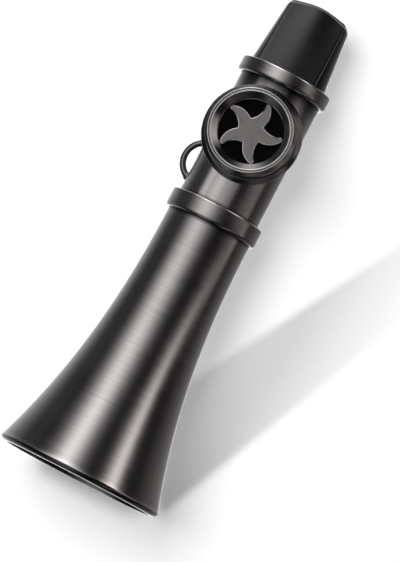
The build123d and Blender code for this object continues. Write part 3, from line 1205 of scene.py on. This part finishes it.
world = bpy.data.worlds.new("studio")
bpy.context.scene.world = world
world.use_nodes = True
sky = world.node_tree
strength = mapped(sky, seenRays(sky), 0, 1, stageLook["ambient"], 1.0)
fill(sky, sky.nodes["Background"], {"Color": (1, 1, 1, 1), "Strength": strength})
world.cycles.sampling_method = "NONE"  # so that the cards can't shade what the world lights

cameraTurn = 6.6  # degrees that the camera stands to the right of the turret's front
studio = {
    "lamps": {  # (degrees right of the camera, elevation, width, height, brightness)
        "keySoftbox": (-31, 24, 0.30, 0.60, 3.0),
        "sideSoftbox": (50, 30, 0.12, 0.50, 2.5),
        "topSoftbox": (-66, 57, 0.24, 0.24, 2.5),
        "tubeStrip": (-60, 6, 0.16, 0.14, 2.0),
        "tubeFill": (6, 6, 0.25, 0.14, 0.7),
    },
    "tubeLamps": ("tubeStrip", "tubeFill"),  # small lamps that only the straight tube mirrors
    "lampDistance": 0.55,
    "domeRadius": 0.75,
    "domeSteps": (241, 121),
}


def studioWay(degrees, elevation):
    # the way from the part's middle to a place given from the camera
    turn = np.radians(degrees + cameraTurn)
    rise = np.radians(elevation)
    return np.stack([np.sin(turn) * np.cos(rise), -np.cos(turn) * np.cos(rise), np.sin(rise)], -1)


# the lamps light what is matt; the metal mirrors the dome
for name, (degrees, elevation, width, height, brightness) in studio["lamps"].items():
    forTube = name in studio["tubeLamps"]
    way = Vector(studioWay(degrees, elevation))
    lamp = putLight(name, "AREA", tubeOnly if forTube else notTable, notCard)
    lamp.data.shape = "RECTANGLE"
    lamp.data.size = width
    lamp.data.size_y = height
    lamp.data.energy = brightness * math.pi * width * height
    lamp.location = Vector(partMiddle) + way * studio["lampDistance"]
    lamp.rotation_euler = way.to_track_quat("Z", "Y").to_euler()
    lamp.visible_glossy = forTube

domeLook = {  # places in degrees: right of the camera, and elevation
    "felt": 0.008,
    "warmSide": (1, 0.955, 0.945, 1),  # tint of the lights on the right
    "warmFrom": (0.1, 0.4),  # metres to the right between which it comes in
    "uneven": (0.95, 1.05),
    "softEdge": 9,  # half of the run over which a light ends at its top
    "keyTurn": -30,
    "keyHalf": (13, 21),  # half width of the tall softbox at its head and foot
    "keyGlow": (4.1, 2.4),
    "keyTop": 54,
    "keyFoot": (34, 8),  # elevations between which the head turns into the foot
    "edgeTurn": 49.5,  # the narrow light on the right swings outwards at its foot
    "edgeSwing": (31, 7),  # how far, and over what rise the swing dies out
    "edgeLeft": (5, 10),  # half width on its left at its foot and head
    "edgeRight": 5.5,
    "edgeGlow": (1.1, 4.6),
    "edgeRise": (6, 36),
    "edgeTop": 52,
    "topPlace": (-66, 57),
    "topHalf": 11,
    "topGlow": 3.6,
    "walls": (  # pale walls beside and behind the part: glow, and where they rise to full
        (0.72, -100, -150),
        (0.36, 75, 145),
        (0.11, -72, -92),
    ),
    "wallTop": 42,
    "backHalf": 11,  # a tall light straight behind the part
    "backGlow": 1.9,
    "backTop": 50,
    "below": (0.75, 0.8),  # the ground mirrors all of them, drawn out and dimmed by these shares
    "darkGround": (0.18, 14, 30),  # but in front only this much, past these depths
    "front": (115, 85),
}


def smoothStep(value, start, end):
    # climbs from 0 at the start to 1 at the end by 3 t^2 - 2 t^3
    t = np.clip((value - start) / (end - start), 0, 1)
    return t * t * (3 - 2 * t)


def bellCurve(offset, half):
    # 1 in the middle and one half at the half width
    return 0.5 ** ((offset / half) ** 2)


def upTo(rises, top):
    # 1 below a light's top and 0 above it, with a soft edge
    return 1 - smoothStep(rises, top - domeLook["softEdge"], top + domeLook["softEdge"])


def domeGlow(turns, rises):
    # the sum of a bell curve across for the tall softbox, another that follows a curved line for the narrow
    # light, a round one overhead, one straight behind, and the walls, which climb by smooth steps
    look = domeLook
    stretch, dim = look["below"]
    least, darkFrom, darkTo = look["darkGround"]
    front = smoothStep(np.abs(turns), *look["front"])
    level = np.where(rises < 0, dim * (1 - (1 - least) * front * smoothStep(-rises, darkFrom, darkTo)), 1)
    rises = np.where(rises < 0, -stretch * rises, rises)
    foot = smoothStep(rises, *look["keyFoot"])
    key = between(look["keyGlow"], foot) * upTo(rises, look["keyTop"])
    key = key * bellCurve(turns - look["keyTurn"], between(look["keyHalf"], foot))
    edgeLow, edgeHigh = look["edgeRise"]
    swing, swingRun = look["edgeSwing"]
    offEdge = turns - look["edgeTurn"] - swing * np.exp((edgeLow - np.maximum(rises, edgeLow)) / swingRun)
    climb = np.clip((rises - edgeLow) / (edgeHigh - edgeLow), 0, 1)
    left = between(look["edgeLeft"], np.minimum(2 * climb, 1))
    edge = bellCurve(offEdge, np.where(offEdge < 0, left, look["edgeRight"]))
    edge = edge * between(look["edgeGlow"], climb) * upTo(rises, look["edgeTop"])
    topTurn, topRise = look["topPlace"]
    fromTop = np.hypot((turns - topTurn) * math.cos(math.radians(topRise)), rises - topRise)
    top = look["topGlow"] * bellCurve(fromTop, look["topHalf"])
    wall = sum(glow * smoothStep(turns, start, full) for glow, start, full in look["walls"])
    wall = wall * upTo(rises, look["wallTop"])
    back = bellCurve(180 - np.abs(turns), look["backHalf"]) * look["backGlow"] * upTo(rises, look["backTop"])
    return look["felt"] + level * (key + edge + top + wall + back)


def domeGrid():
    # a sphere by turn and rise about the part's middle
    turnSteps, riseSteps = studio["domeSteps"]
    turns = np.linspace(-180, 180, turnSteps)
    turns, rises = np.meshgrid(turns, np.linspace(-90, 90, riseSteps), indexing="ij")
    points = np.array(partMiddle) / mm + studioWay(turns, rises) * studio["domeRadius"] / mm
    return points, domeGlow(turns, rises)


def domeFace():
    # the dome shows its own glow, which its paintedLightAndWear attribute holds, a little uneven like cloth
    material, tree, output = startPlain("domeFace")
    uneven = spread(tree, noiseAt(tree, objectAt(tree, (9, 9, 9)), 3.0), *domeLook["uneven"])
    across = addNode(tree, "SeparateXYZ", {0: objectAt(tree, (1, 1, 1))}).outputs[0]
    tint = mixColour(tree, mapped(tree, across, *domeLook["warmFrom"]), (1, 1, 1, 1), domeLook["warmSide"])
    lit = {"Color": tint, "Strength": product(tree, paintedLightAndWearOf(tree), uneven)}
    fill(tree, output, {"Surface": addNode(tree, "Emission", lit).outputs[0]})
    material.cycles.emission_sampling = "NONE"
    return material


grid, glow = domeGrid()
dome = putPiece("studioDome", [(grid, False, False, glow)], domeFace())
hideFrom(dome, "camera", "diffuse", "shadow", "transmission")
print("stage: floor, table, dome and", len(studio["lamps"]), "lamps")


# camera

view = {
    "place": (0.11476, -0.99427, -0.02615),
    "turn": (95.0596, -27.4827, 4.0256),
    "focalPixels": 4435.0,  # distance to the picture plane in picture pixels
    "pictureHeight": 562,
    "sensor": 36.0,
}
cameraData = bpy.data.cameras.new("camera")
cameraData.sensor_width = view["sensor"]
cameraData.lens = view["focalPixels"] * view["sensor"] / view["pictureHeight"]
cameraData.clip_start = 0.05
cameraData.clip_end = 20
camera = addObject("camera", cameraData)
camera.location = view["place"]
camera.rotation_euler = Euler([math.radians(angle) for angle in view["turn"]])
bpy.context.scene.camera = camera
bpy.context.scene.view_settings.view_transform = "Standard"
print("camera: lens", round(cameraData.lens, 1), "mm")
